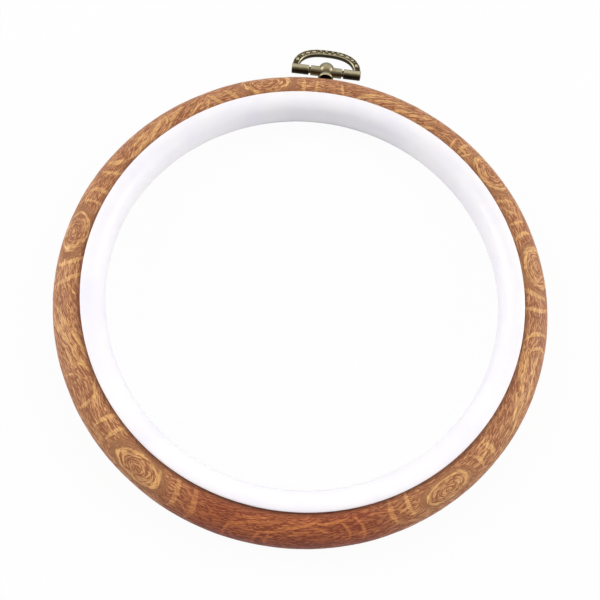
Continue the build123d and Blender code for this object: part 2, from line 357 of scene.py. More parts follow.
class Graph:
    """Adds and links the nodes of one shader tree or node group."""

    def __init__(self, tree):
        self.tree = tree

    def node(self, kind, inputs=None, **settings):
        """A node with its settings, and its sockets set or linked by name or number."""
        node = self.tree.nodes.new(kind)
        for name, value in settings.items():
            setattr(node, name, value)
        return self.fill(node, inputs or {})

    def fill(self, node, inputs):
        """A node with its sockets set to values, or linked, by name or number."""
        for key, value in inputs.items():
            if isinstance(value, bpy.types.NodeSocket):
                self.tree.links.new(value, node.inputs[key])
            else:
                node.inputs[key].default_value = value
        return node

    def math(self, operation, *values, clamp=False):
        """A Math node's result."""
        inputs = dict(enumerate(values))
        return self.node("ShaderNodeMath", inputs, operation=operation, use_clamp=clamp).outputs[0]

    times = partialmethod(math, "MULTIPLY")
    times_plus = partialmethod(math, "MULTIPLY_ADD")
    minus = partialmethod(math, "SUBTRACT")
    most = partialmethod(math, "MAXIMUM")

    def mix(self, factor, first, second, blend="MIX"):
        """A colour between first and second."""
        inputs = {"Factor": factor, 6: first, 7: second}
        node = self.node("ShaderNodeMix", inputs, data_type="RGBA", blend_type=blend)
        return node.outputs[2]

    def spread(self, value, low, high, to_low=0.0, to_high=1.0):
        """Value moved smoothly from one range to another, and held inside it."""
        inputs = {"Value": value, "From Min": low, "From Max": high}
        inputs.update({"To Min": to_low, "To Max": to_high})
        return self.node("ShaderNodeMapRange", inputs, interpolation_type="SMOOTHSTEP").outputs[0]

    def ramp(self, factor, stops):
        """A grey value looked up along given stops of (place, value)."""
        node = self.node("ShaderNodeValToRGB", {"Fac": factor})
        elements = node.color_ramp.elements
        while len(elements) < len(stops):
            elements.new(0.5)
        for element, (place, value) in zip(elements, stops):
            element.position = place
            element.color = (value, value, value, 1)
        return node.outputs[0]

    def group(self, tree, inputs=None):
        """The outputs of a node group placed in this tree."""
        return self.node("ShaderNodeGroup", inputs, node_tree=tree).outputs

    def noise(self, per_metre, detail, stretch=None):
        """Noise from 0 to 1 over the object, whose coordinates may be stretched first."""
        vector = self.node("ShaderNodeTexCoord").outputs["Object"]
        if stretch:
            vector = self.node("ShaderNodeMapping", {"Vector": vector, "Scale": stretch}).outputs[0]
        inputs = {"Vector": vector, "Scale": per_metre, "Detail": detail}
        return self.node("ShaderNodeTexNoise", inputs).outputs["Fac"]

    def surface(self, colour, roughness, bump, others):
        """Fill the main shader. The bump is its height, its strength and its depth in metres."""
        bump = self.node("ShaderNodeBump", dict(zip(("Height", "Strength", "Distance"), bump)))
        inputs = {"Base Color": colour, "Roughness": roughness, "Normal": bump.outputs[0]}
        self.fill(self.tree.nodes["Principled BSDF"], inputs | others)


def new_group(name, inputs, outputs):
    """An empty node group with float sockets, as (graph, its input node, its output node)."""
    tree = bpy.data.node_groups.new(name, "ShaderNodeTree")
    for label, default in inputs.items():
        socket = tree.interface.new_socket(label, in_out="INPUT", socket_type="NodeSocketFloat")
        socket.default_value = default
    for label in outputs:
        tree.interface.new_socket(label, in_out="OUTPUT", socket_type="NodeSocketFloat")
    graph = Graph(tree)
    return graph, graph.node("NodeGroupInput"), graph.node("NodeGroupOutput")


def ring_places_group():
    """Where a point lies on the ring: its angle, its distance across the print and its radius."""
    graph, _, out = new_group("Ring Places", {}, ("Angle", "Across", "Radius"))
    place = graph.node("ShaderNodeTexCoord").outputs["Object"]
    xyz = graph.node("ShaderNodeSeparateXYZ", {0: place}).outputs
    squares = [graph.times(xyz[axis], xyz[axis]) for axis in ("X", "Y")]
    radius = graph.math("SQRT", graph.math("ADD", *squares))
    radius_mm = graph.times(radius, 1 / MM)
    height_mm = graph.times(xyz["Z"], 1 / MM)
    from_core = graph.minus(radius_mm, SECTION_CORE)
    round_section = graph.math("ARCTAN2", height_mm, from_core)
    across = graph.times_plus(round_section, -ACROSS_PER_RADIAN, NOSE_ACROSS)
    clockwise = graph.math("ARCTAN2", xyz["X"], xyz["Y"])
    angle = graph.math("WRAP", clockwise, 2 * pi, 0.0)
    graph.fill(out, {"Angle": angle, "Across": across, "Radius": radius_mm})
    return graph.tree


def grain_group():
    """Noise drawn out along lines of equal Flow. Length and Thickness are in millimetres."""
    inputs = {"Angle": 0, "Across": 0, "Flow": 0, "Length": 4, "Thickness": 0.5, "Shift": 0}
    graph, given, out = new_group("Grain", inputs, ("Value",))
    given = given.outputs
    reach = graph.math("DIVIDE", PRINT_RADIUS, given["Length"])
    aside = graph.math("DIVIDE", given["Across"], given["Length"])
    place = {
        "X": graph.times(graph.math("COSINE", given["Angle"]), reach),
        "Y": graph.times(graph.math("SINE", given["Angle"]), reach),
        "Z": graph.math("ADD", aside, given["Shift"]),
    }
    settings = {
        "Vector": graph.node("ShaderNodeCombineXYZ", place).outputs[0],
        "W": graph.math("DIVIDE", given["Flow"], given["Thickness"]),
        "Scale": 1.0,
        "Detail": 1.0,
        "Roughness": 0.55,
    }
    grain = graph.node("ShaderNodeTexNoise", settings, noise_dimensions="4D")
    graph.fill(out, {"Value": grain.outputs["Fac"]})
    return graph.tree


def nearest_figure_group(name, figures):
    """Squared distance from the nearest of several bent ellipses, 1 on its outline."""
    graph, given, out = new_group(name, {"Angle": 0.0, "Across": 0.0}, ("Distance",))
    along = graph.times(given.outputs["Angle"], PRINT_RADIUS)
    across = given.outputs["Across"]
    nearest = None
    for turn, mid, lean, half_length, half_width, *bend in figures:
        along_mid = radians(turn) * PRINT_RADIUS
        cosine = cos(radians(lean))
        sine = sin(radians(lean))
        sides = []
        for share, rise in ((cosine, sine), (-sine, cosine)):
            reach = half_width if sides else half_length
            offset = -(along_mid * share + mid * rise) / reach
            side = graph.times_plus(along, share / reach, offset)
            sides.append(graph.times_plus(across, rise / reach, side))
        length_square = graph.times(sides[0], sides[0])
        aside = sides[1]
        if bend:
            bow = -bend[0] * half_length**2 / half_width
            aside = graph.times_plus(length_square, bow, aside)
        distance = graph.times_plus(aside, aside, length_square)
        nearest = graph.math("MINIMUM", nearest, distance) if nearest else distance
    graph.fill(out, {"Distance": nearest})
    return graph.tree


def material_graph(name):
    """A new material and its graph."""
    material = bpy.data.materials.new(name)
    material.use_nodes = True
    return material, Graph(material.node_tree)


def wood_print_material(settings):
    """Printed and embossed wood grain on satin vinyl: eyes, cross bands, flames and dark dashes."""
    material, graph = material_graph("printed_wood_grain")
    places = graph.group(ring_places_group())
    true_across = places["Across"]
    grain_tree = grain_group()

    def grain(layer, flow):
        inputs = {"Angle": places["Angle"], "Across": true_across, "Flow": flow}
        inputs |= zip(("Length", "Thickness", "Shift"), GRAINS[layer])
        return graph.group(grain_tree, inputs)["Value"]

    def share(name, value):
        return graph.spread(value, *SPREADS[name])

    def pulled(place, layer, coarse, fine):
        place = graph.times_plus(grain(layer, true_across), coarse, place)
        place = graph.minus(place, (coarse + fine) / 2)
        return graph.times_plus(ragged, fine, place)

    def near(name, figures):
        tree = nearest_figure_group(name, figures)
        return graph.group(tree, {"Angle": angle, "Across": across})["Distance"]

    # Below the nose the print is mirrored and moved along, and the figures are pulled about a little
    past_fold = graph.math("ABSOLUTE", graph.minus(true_across, FOLD_ACROSS))
    folded = graph.minus(FOLD_ACROSS, past_fold)
    below = graph.math("GREATER_THAN", true_across, FOLD_ACROSS)
    staggered = graph.times_plus(below, FOLD_STAGGER, places["Angle"])
    staggered = graph.math("WRAP", staggered, 2 * pi, 0.0)
    ragged = grain("ragged", true_across)
    angle = pulled(staggered, "sway", *PULL_ALONG)
    across = pulled(folded, "drift", *PULL_ACROSS)

    eye = graph.math("SQRT", near("Eyes", EYES))
    knot = graph.math("SQRT", near("Knots", KNOTS))
    cross = near("Cross Strokes", CROSS_STROKES)
    long = near("Long Strokes", LONG_STROKES)

    # Fine grain flows round the eyes, and elsewhere with the long strokes
    turned = graph.times(places["Angle"], 1 / (2 * pi))
    stops = [(turn / 360, moved / FLOW_REACH) for turn, moved in FLOW]
    moved = graph.times(graph.ramp(turned, stops), FLOW_REACH)
    open_flow = graph.minus(across, moved)
    round_eye = graph.times(eye, EYE_ASPECT)
    bent = graph.minus(round_eye, open_flow)
    flow = graph.math("ADD", open_flow, graph.times(bent, share("in_eye", eye)))
    flow = graph.times_plus(grain("wobble", true_across), FLOW_WOBBLE, flow)

    bands = share("bands", graph.math("MINIMUM", cross, long))
    figure = graph.most(bands, graph.ramp(graph.times(eye, 0.5), EYE_RINGS))
    knot_rings = graph.ramp(graph.times(knot, 0.5), KNOT_RINGS)
    figure = graph.most(figure, knot_rings)
    figure = graph.times(figure, share("breaks", grain("breaks", flow)))
    figure = graph.most(figure, share("flames", grain("flames", flow)))
    dashes = grain("dashes", flow)
    toothed = graph.times_plus(share("teeth", dashes), -TEETH, figure)
    figure = share("figure", graph.times_plus(figure, FIGURE_GAIN, toothed))

    # The threads are thin lines where their noise crosses its middle
    off_line = graph.math("ABSOLUTE", graph.minus(grain("threads", flow), 0.5))
    marks = graph.most(share("dashes", dashes), share("threads", off_line))
    marks = graph.most(marks, share("fine", grain("fine", flow)))
    marks = graph.times(marks, share("marks_on_figure", figure))
    marks = graph.most(marks, share("heart", knot))

    # Painted shade: darker and redder opposite the hanger, most on the nose
    from_middle = graph.minus(places["Angle"], WARM_SHADE_MIDDLE)
    warm_shade = graph.spread(graph.math("ABSOLUTE", from_middle), *WARM_SHADE_REACH, 1.0, 0.0)
    ground = graph.mix(share("tone", grain("tone", flow)), settings.middle, settings.dark)
    colour = graph.mix(figure, ground, settings.light)
    colour = graph.mix(graph.times(marks, MARK_STRENGTH), colour, settings.dark)
    colour = graph.mix(warm_shade, colour, settings.warm_shade_colour, "MULTIPLY")
    nose_shade = graph.times(warm_shade, share("nose", true_across))
    colour = graph.mix(nose_shade, colour, settings.warm_shade_colour, "MULTIPLY")
    # Partly painted shade: darker brown on the rolled edge next to the seam and in the bore, where the
    # crease between the rings lies in shade
    colour = graph.mix(share("rolled", true_across), colour, settings.edge)
    inside_bore = graph.math("LESS_THAN", places["Radius"], (BORE_RADIUS + BORE_MARGIN) / MM)
    colour = graph.mix(inside_bore, colour, settings.edge)

    relief = graph.times_plus(figure, FIGURE_RISE, graph.times(marks, -1.0))
    roughness = share("roughness", marks)
    graph.surface(colour, roughness, (relief, 0.6, 0.12 * MM), {"Specular IOR Level": 0.32})
    return material


def pale_plastic_material(settings):
    """Smooth semi-gloss plastic with faint moulding waves and a little cloudiness."""
    material, graph = material_graph("milky_plastic")
    cloud = graph.noise(per_metre=60.0, detail=3.0)
    shade = [0.94 * channel for channel in settings.colour[:2]] + [settings.colour[2], 1]
    colour = graph.mix(graph.spread(cloud, 0.35, 0.7), settings.colour, shade)
    roughness = graph.spread(cloud, 0.3, 0.7, 0.34, 0.42)
    wave = graph.noise(per_metre=240.0, detail=2.0)
    milk = {"Subsurface Weight": 0.6, "Subsurface Radius": (1, 1, 1), "Subsurface Scale": 4 * MM}
    graph.surface(colour, roughness, (wave, 0.12, 0.05 * MM), milk)
    return material


def patina_group():
    """How bright a point of plated metal is, from its burnishing with painted light and shade mixed
    in, and a fine mottle.
    """
    graph, given, out = new_group("Patina", {"Polish_And_Shade": 0.5, "Mottle": 900.0}, ("Wear_And_Shade", "Grit"))
    mottle = graph.noise(per_metre=given.outputs["Mottle"], detail=3.0)
    spots = graph.times_plus(mottle, 0.3, -0.15)
    wear_and_shade = graph.math("ADD", given.outputs["Polish_And_Shade"], spots, clamp=True)
    graph.fill(out, {"Wear_And_Shade": wear_and_shade, "Grit": mottle})
    return graph.tree


def bronze_material(settings, patina):
    """Antique bronze plating: dark with patina in the recesses, burnished where the stored value is
    high, and painted light and shade from that value on the ball, tubes and bell.
    """
    material, graph = material_graph("burnished_bronze")
    polish_and_shade = graph.node("ShaderNodeAttribute", attribute_name="polish_and_shade").outputs["Fac"]
    worn_and_shaded = graph.group(patina, {"Polish_And_Shade": polish_and_shade})
    colour = graph.mix(graph.spread(worn_and_shaded["Wear_And_Shade"], 0.0, 0.5), settings.deep_patina_and_shade, settings.dull)
    colour = graph.mix(graph.spread(worn_and_shaded["Wear_And_Shade"], 0.45, 1.0), colour, settings.bright)
    brushed = graph.noise(per_metre=1.0, detail=2.0, stretch=(300, 6000, 6000))
    height = graph.math("ADD", brushed, worn_and_shaded["Grit"])
    roughness = graph.spread(worn_and_shaded["Wear_And_Shade"], 0.0, 1.0, 0.5, 0.3)
    graph.surface(colour, roughness, (height, 0.25, 0.05 * MM), {"Metallic": 1.0})
    return material


def seen_by_camera(graph):
    """1 for rays from the camera or by way of gloss or glass, 0 for light that falls on things."""
    rays = graph.node("ShaderNodeLightPath").outputs
    seen = graph.most(rays["Is Camera Ray"], rays["Is Glossy Ray"])
    return graph.most(seen, rays["Is Transmission Ray"])


def steel_material(name, colour, least_roughness, lines_per_metre):
    """Turned or drawn steel with fine lines round it."""
    material, graph = material_graph(name)
    lines = graph.noise(per_metre=1.0, detail=3.0, stretch=lines_per_metre)
    shade = [0.6 * channel for channel in colour[:3]] + [1]
    tinted = graph.mix(graph.spread(lines, 0.4, 0.75), colour, shade)
    roughness = graph.spread(lines, 0.2, 0.8, least_roughness, least_roughness + 0.15)
    graph.surface(tinted, roughness, (lines, 0.2, 0.02 * MM), {"Metallic": 1.0})
    return material


def ellipse_points(centre, radii, start, end, steps):
    """Points (radius, height) along an ellipse's arc, in degrees, both ends included."""
    points = []
    for step in range(steps + 1):
        angle = radians(start + (end - start) * step / steps)
        points.append((centre[0] + radii[0] * cos(angle), centre[1] + radii[1] * sin(angle)))
    return points


def spin_section(points, upright, steps, closed):
    """A bmesh of (radius, place along the axis) points turned once round Z if upright, or else Y."""
    bm = bmesh.new()
    verts = [bm.verts.new((r, 0, along) if upright else (r, along, 0)) for r, along in points]
    after = verts[1:] + verts[:1] if closed else verts[1:]
    edges = [bm.edges.new(pair) for pair in zip(verts, after)]
    axis = (0, 0, 1) if upright else (0, 1, 0)
    section = verts + edges
    bmesh.ops.spin(
        bm, geom=section, cent=(0, 0, 0), axis=axis, angle=2 * pi, steps=steps, use_merge=True
    )
    bmesh.ops.remove_doubles(bm, verts=bm.verts, dist=0.001 * MM)
    bmesh.ops.recalc_face_normals(bm, faces=bm.faces)
    return bm


def rod_bmesh(radius, start, end, axis, segments=48, edge=0.0):
    """A closed round rod along +Y, or along +X on the hinge, with both rims eased by edge."""
    bm = bmesh.new()
    bmesh.ops.create_cone(
        bm, cap_ends=True, segments=segments, radius1=radius, radius2=radius, depth=end - start
    )
    if edge:
        rims = [e for e in bm.edges if abs(e.verts[0].co.z - e.verts[1].co.z) < 1e-7]
        bmesh.ops.bevel(
            bm, geom=rims, offset=edge, segments=2, profile=0.5, affect="EDGES", material=-1
        )
    turn = Matrix.Rotation(pi / 2, 4, "Y" if axis == "X" else "X")
    bmesh.ops.transform(bm, matrix=turn, verts=bm.verts)
    middle = (start + end) / 2
    place = (middle, HINGE_Y, 0) if axis == "X" else (0, middle, 0)
    bmesh.ops.translate(bm, vec=place, verts=bm.verts)
    return bm


def object_from(bm, name):
    """A scene object that takes over a bmesh."""
    mesh = bpy.data.meshes.new(name)
    bm.to_mesh(mesh)
    bm.free()
    obj = bpy.data.objects.new(name, mesh)
    bpy.context.scene.collection.objects.link(obj)
    return obj


def combine(obj, bm, operation):
    """Join a second shape to obj, or cut it away, and drop the second shape."""
    tool = object_from(bm, "tool")
    modifier = obj.modifiers.new("combine", "BOOLEAN")
    modifier.operation = operation
    modifier.solver = "EXACT"
    modifier.object = tool
    graph = bpy.context.evaluated_depsgraph_get()
    mesh = bpy.data.meshes.new_from_object(obj.evaluated_get(graph))
    obj.modifiers.clear()
    spares = (obj.data, tool.data)
    obj.data = mesh
    bpy.data.objects.remove(tool)
    for spare in spares:
        bpy.data.meshes.remove(spare)


def finish_piece(obj, material, node, body, smooth_below=radians(32)):
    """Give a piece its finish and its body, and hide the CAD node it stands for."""
    obj.data.name = obj.name
    obj.data.materials.clear()
    obj.data.materials.append(material)
    obj.data.shade_smooth()
    obj.data.set_sharp_from_angle(angle=smooth_below)
    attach(obj, body)
    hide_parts(node)


def clamp(value):
    """A value held between 0 and 1."""
    return min(1.0, max(0.0, value))


def between(limits, share):
    """The value at a share of the way from one limit to the other."""
    return limits[0] + (limits[1] - limits[0]) * share


def hill(aside):
    """A ridge's height: 1 along its middle, 0 from 1 aside."""
    return max(0.0, 1 - aside**2)


def dome(along, across):
    """A boss's height: 1 at its middle, 0 from 1 away."""
    return max(0.0, 1 - (along**2 + across**2)) ** 0.5


def tube_light_and_shade(co):
    """Painted light on the side of a tube that faces up and away from the hoop, painted shade on its
    underside.
    """
    out = co.y - HINGE_Y
    facing = (TUBE_LIT_UP * co.z + TUBE_LIT_OUT * out) / max(hypot(co.z, out), 0.1 * MM)
    share = clamp(TUBE_LIGHTING * facing - TUBE_LIT_FROM)
    return between(TUBE_LIGHT_AND_SHADE, share * share * (3 - 2 * share))


def store_polish_and_shade(mesh, polish_and_shade_at):
    """Keep how burnished each point is, with painted light and shade mixed in, for the bronze
    material.
    """
    attribute = mesh.attributes.new("polish_and_shade", "FLOAT", "POINT")
    for index, vertex in enumerate(mesh.vertices):
        attribute.data[index].value = polish_and_shade_at(vertex.co)


class HOOP_OT_wood_ring(bpy.types.Operator):
    """Outer ring of soft vinyl with a wood print."""

    bl_idname = "hoop.wood_ring"
    bl_label = "Wood-printed outer ring"

    def execute(self, context):
        settings = context.scene.hoop_wood
        bm = spin_section(self.section(), True, settings.steps, closed=True)
        self.wander(bm, settings.unevenness)
        ring = object_from(bm, "wood_print_ring")
        outside = OUTER_RADIUS + 2 * MM
        holes = (
            (SOCKET_RADIUS, STEM_SOCKET_Y, outside),
            (COUNTERBORE_RADIUS, SEAM_RADIUS - MM, WASHER_BACK_Y),
            (SCREW_HOLE_RADIUS, SEAM_RADIUS, outside),
        )
        for radius, start, end in holes:
            combine(ring, rod_bmesh(radius, start, end, "Y"), "DIFFERENCE")
        finish_piece(ring, wood_print_material(settings), "outer_ring", "outer")
        return {"FINISHED"}

    @staticmethod
    def section():
        """Closed outline: nose, upper roll, bore, rabbet and lower roll."""
        roll = (CROWN_RADIUS - BORE_RADIUS, HALF_HEIGHT - BORE_HALF_HEIGHT)
        upper = (CROWN_RADIUS, BORE_HALF_HEIGHT)
        lower = (CROWN_RADIUS, -BORE_HALF_HEIGHT)
        rabbet_radius = LIP_RADIUS + SEAM_GAP
        rabbet_top = LIP_TOP + SEAM_GAP
        reach_rabbet = 180 + degrees(asin((lower[1] - rabbet_top) / roll[1]))
        leave_rabbet = 180 + degrees(acos((CROWN_RADIUS - rabbet_radius) / roll[0]))
        nose_radii = (OUTER_RADIUS - CROWN_RADIUS, HALF_HEIGHT)
        points = ellipse_points((CROWN_RADIUS, 0), nose_radii, -90, 90, 36)
        points += ellipse_points(upper, roll, 90, 180, 9)[1:]
        points += [(BORE_RADIUS, BORE_HALF_HEIGHT * (1 - step / 3)) for step in range(1, 6)]
        points += ellipse_points(lower, roll, 180, reach_rabbet, 2)
        points.append((rabbet_radius, rabbet_top))
        points += ellipse_points(lower, roll, leave_rabbet, 270, 3)[:-1]
        return points

    @staticmethod
    def wander(bm, height):
        """Move the outer face a little in and out, as a soft moulding does, but not at the stem."""
        bm.normal_update()
        moves = []
        for vert in bm.verts:
            radius = hypot(vert.co.x, vert.co.y)
            if radius < CROWN_RADIUS:
                continue
            share = min(1.0, (radius - CROWN_RADIUS) / CROWN_FADE)
            near_stem = (vert.co - Vector((0, OUTER_RADIUS, 0))).length
            share *= clamp(near_stem / STEM_FADE - STEM_CALM)
            slow = noise.noise(vert.co * SLOW_WAVES)
            quick = noise.noise(vert.co * QUICK_WAVES)
            moves.append((vert, vert.normal * height * share * (slow + QUICK_SHARE * quick)))
        for vert, move in moves:
            vert.co += move


class HOOP_OT_pale_ring(bpy.types.Operator):
    """Rigid inner ring with a rolled top and a lip at its foot."""

    bl_idname = "hoop.pale_ring"
    bl_label = "Pale inner ring"

    def execute(self, context):
        settings = context.scene.hoop_pale
        bm = spin_section(self.section(), True, settings.steps, closed=True)
        ring = object_from(bm, "pale_inner_ring")
        finish_piece(ring, pale_plastic_material(settings), "inner_ring", "inner")
        return {"FINISHED"}

    @staticmethod
    def section():
        """Closed outline: rolled top, land, leaning wall, underside and lip."""
        edge = EASED_EDGE
        top_radii = (SEAM_RADIUS - edge - RIDGE_RADIUS, INNER_TOP - RIDGE_HEIGHT)
        points = ellipse_points((SEAM_RADIUS - edge, INNER_TOP - edge), (edge, edge), 0, 90, 4)
        points += ellipse_points((SEAM_RADIUS - edge, RIDGE_HEIGHT), top_radii, 90, 180, 24)[1:]
        points.append((RIDGE_RADIUS, LAND_BOTTOM))
        foot_edge = (FOOT_RADIUS + edge, UNDERSIDE + edge)
        points += ellipse_points(foot_edge, (edge, edge), 180, 270, 4)
        lip_edge = (LIP_RADIUS - edge, UNDERSIDE + edge)
        points += ellipse_points(lip_edge, (edge, edge), 270, 360, 4)
        points.append((LIP_RADIUS, LIP_TOP))
        points.append((SEAM_RADIUS, LIP_TOP))
        return points


class HOOP_OT_stem(bpy.types.Operator):
    """Cast stem with its bell, ball and cross tube."""

    bl_idname = "hoop.stem"
    bl_label = "Bell and ball stem"

    def execute(self, context):
        stem = object_from(spin_section(self.section(), False, 72, closed=False), "bell_and_ball_stem")
        reach = CROSS_TUBE_REACH
        tube = rod_bmesh(CROSS_TUBE_RADIUS, -reach, reach, "X", 64, CROSS_TUBE_EDGE)
        combine(stem, tube, "UNION")
        combine(stem, rod_bmesh(PIN_HOLE_RADIUS, -2 * reach, 2 * reach, "X"), "DIFFERENCE")
        store_polish_and_shade(stem.data, self.polish_and_shade)
        material = bpy.data.materials["burnished_bronze"]
        finish_piece(stem, material, "hanger_stem", "outer")
        return {"FINISHED"}

    @staticmethod
    def section():
        """Outline from the ball's top down to the stem's foot and up the tapped hole."""
        neck_angle = degrees(acos(BELL_NECK_RADIUS / BALL_RADIUS))
        ball = ellipse_points((0, BALL_Y), (BALL_RADIUS, BALL_HALF_HEIGHT), 90, -neck_angle, 44)
        ball[0] = (0, BALL_TOP_Y)
        skirt_y = BELL_RIM_Y + BELL_SKIRT
        round_over = BELL_RIM_RADIUS - BELL_NECK_RADIUS
        shoulder = ellipse_points(
            (BELL_NECK_RADIUS, skirt_y), (round_over, BELL_SHOULDER), 90, 0, 8
        )
        lip = BELL_WALL / 2
        rim = ellipse_points((BELL_RIM_RADIUS - lip, BELL_RIM_Y + lip), (lip, lip), 0, -180, 8)
        tapped_end = STEM_SOCKET_Y + TAPPED_DEPTH
        foot = [
            (STEM_RADIUS, BELL_RIM_Y + BELL_HOLLOW),
            (STEM_RADIUS, STEM_SOCKET_Y),
            (TAPPED_RADIUS, STEM_SOCKET_Y),
            (TAPPED_RADIUS, tapped_end - TAPPED_RADIUS / 2),
            (0, tapped_end),
        ]
        return ball + shoulder + rim + foot

    @staticmethod
    def polish_and_shade(co):
        """Painted shade inside the bell, under the tubes and ball and in the corners beside the ball,
        and painted light on their tops; bright on the bell's lip and the tubes' ends.
        """
        radius = hypot(co.x, co.z)
        aside = abs(co.x)
        # Painted shade inside the bell's hollow
        if co.y < BELL_RIM_Y + BELL_HOLLOW * 1.1 and radius < BELL_RIM_RADIUS - BELL_WALL * 0.95:
            return HOLLOW_SHADE
        if co.y < BELL_RIM_Y + BELL_WALL * 1.2:
            return LIP_POLISH
        if co.y < BALL_Y - BALL_HALF_HEIGHT * 0.72:
            return STEM_POLISH
        if aside > CROSS_TUBE_REACH - 0.2 * MM:
            return TUBE_END_POLISH
        # Beside the ball: painted shade in the corner, over the tube's painted light and shade
        if aside > BALL_RADIUS * 1.02:
            from_corner = min(1.0, (aside - BALL_RADIUS) / CORNER_SHADE_REACH)
            return tube_light_and_shade(co) * between(CORNER_SHADE, from_corner)
        # The ball: painted shade underneath, painted light on top
        return between(BALL_LIGHT_AND_SHADE, tube_light_and_shade(co))


class HOOP_OT_bail(bpy.types.Operator):
    """Hanging loop with a row of framed bosses and a waved ribbon on both faces."""

    bl_idname = "hoop.bail"
    bl_label = "Ornamented bail"

    path_steps = 380
    face_steps = 24
    side_steps = 6
    # Ornament, from the arch's top along its middle, in millimetres: bosses as (place, half length)
    bosses = ((5.6, 1.05), (8.2, 0.95), (10.6, 0.6), (13.6, 0.9))
    webs = (4.25, 6.9, 9.5, 11.8)
    web_reach = 0.26
    beads = (-4.0, -1.9, 0.6, 2.9)
    ribbon_reach = 4.2
    ribbon_pitch = 2.25
    # Across the band, from 0 on its inner edge to 1 on its outer edge
    inner_rim = 0.13
    outer_rim = 0.95
    outer_rim_reach = 0.08
    field_middle = 0.56
    field_reach = 0.3
    edge_bulges = (0.04, 0.025)
    # Across the field between the rims, from -1 to 1; a bead's length is in millimetres
    ribbon_swing = 0.5
    ribbon_half_width = 0.36
    boss_half_width = 0.85
    bead_aside = 0.72
    bead_size = (0.55, 0.5)
    # Heights of the low ornament and rims, where the bosses are 1
    low_relief = 0.55
    low_rim = 0.6
    # Share of the path at each foot where the relief fades out
    foot = 0.03

    def execute(self, context):
        self.relief = context.scene.hoop_hanger.relief
        self.measure_path()
        bail = object_from(self.arch(), "ornamented_bail")
        for side in (-1, 1):
            ends = sorted((side * KNUCKLE_START, side * KNUCKLE_END))
            combine(bail, rod_bmesh(KNUCKLE_RADIUS, *ends, "X", 64, KNUCKLE_EDGE), "UNION")
        combine(bail, rod_bmesh(PIN_RADIUS, -2 * KNUCKLE_END, 2 * KNUCKLE_END, "X"), "DIFFERENCE")
        store_polish_and_shade(bail.data, self.polish_and_shade)
        material = bpy.data.materials["burnished_bronze"]
        finish_piece(bail, material, "bail", "loop", radians(40))
        return {"FINISHED"}

    @staticmethod
    def arch_point(angle, across, z=0.0):
        """A point on the band: across runs from 0 on the inner edge to 1 on the outer edge."""
        inset = 1 - across
        half_width = ARCH_HALF_WIDTH - ARCH_SIDE_BAND * inset
        height = ARCH_HEIGHT - ARCH_TOP_BAND * inset
        side = 1 if cos(angle) >= 0 else -1
        x = side * half_width * abs(cos(angle)) ** (2 / ARCH_FULLNESS)
        y = height * max(0.0, sin(angle)) ** (2 / ARCH_FULLNESS)
        return Vector((x, HINGE_Y + y, z))

    def measure_path(self):
        """Angles evenly spaced along the band's middle, and each one's distance from the top."""
        fine = 4000
        points = [self.arch_point(pi * step / fine, 0.5) for step in range(fine + 1)]
        reached = [0.0]
        for first, second in zip(points, points[1:]):
            reached.append(reached[-1] + (second - first).length)
        self.length = reached[-1]
        self.angles = []
        here = 0
        for step in range(self.path_steps + 1):
            wanted = self.length * step / self.path_steps
            while here < fine - 1 and reached[here + 1] < wanted:
                here += 1
            gap = reached[here + 1] - reached[here]
            share = (wanted - reached[here]) / gap if gap else 0
            self.angles.append(pi * (here + clamp(share)) / fine)

    def height(self, along, across):
        """Relief above the band's sunk floor, from 0 to 1. Along is measured from the arch's top."""
        here = along / MM
        outer_rim = hill((across - self.outer_rim) / self.outer_rim_reach) * self.low_rim
        rims = max(hill((across - self.inner_rim) / self.inner_rim), outer_rim)
        if across < self.inner_rim:
            rims = max(rims, self.low_rim)
        middle = (across - self.field_middle) / self.field_reach
        ornament = 0.0
        if abs(here) < self.ribbon_reach:
            wave = self.ribbon_swing * cos(2 * pi * here / self.ribbon_pitch)
            ornament = hill((middle - wave) / self.ribbon_half_width) * self.low_relief
            length, width = self.bead_size
            for place in self.beads:
                for side, moved in ((1, 0.0), (-1, self.ribbon_pitch / 2)):
                    aside = middle - side * self.bead_aside
                    ornament = max(ornament, dome((here - place - moved) / length, aside / width))
        else:
            aside = middle / self.boss_half_width
            for place, half_length in self.bosses:
                ornament = max(ornament, dome((abs(here) - place) / half_length, aside))
            for place in self.webs:
                ornament = max(ornament, hill((abs(here) - place) / self.web_reach) * self.low_relief)
        return min(1.0, max(rims, ornament))

    def arch(self):
        """The band swept along its path, with the relief moved into both faces."""
        bm = bmesh.new()
        ring = self.section_loop(0)
        verts = [bm.verts.new(co) for co in ring]
        edges = [bm.edges.new(pair) for pair in zip(verts, verts[1:] + verts[:1])]
        bmesh.ops.contextual_create(bm, geom=edges)
        for step in range(1, self.path_steps + 1):
            grown = bmesh.ops.extrude_edge_only(bm, edges=edges)["geom"]
            fresh = [item for item in grown if isinstance(item, bmesh.types.BMVert)]
            swept = [item for item in grown if isinstance(item, bmesh.types.BMEdge)]
            edges = [edge for edge in swept if all(vert in fresh for vert in edge.verts)]
            for vert, co in zip(fresh, self.section_loop(step)):
                vert.co = co
        bmesh.ops.contextual_create(bm, geom=edges)
        bmesh.ops.recalc_face_normals(bm, faces=bm.faces)
        return bm

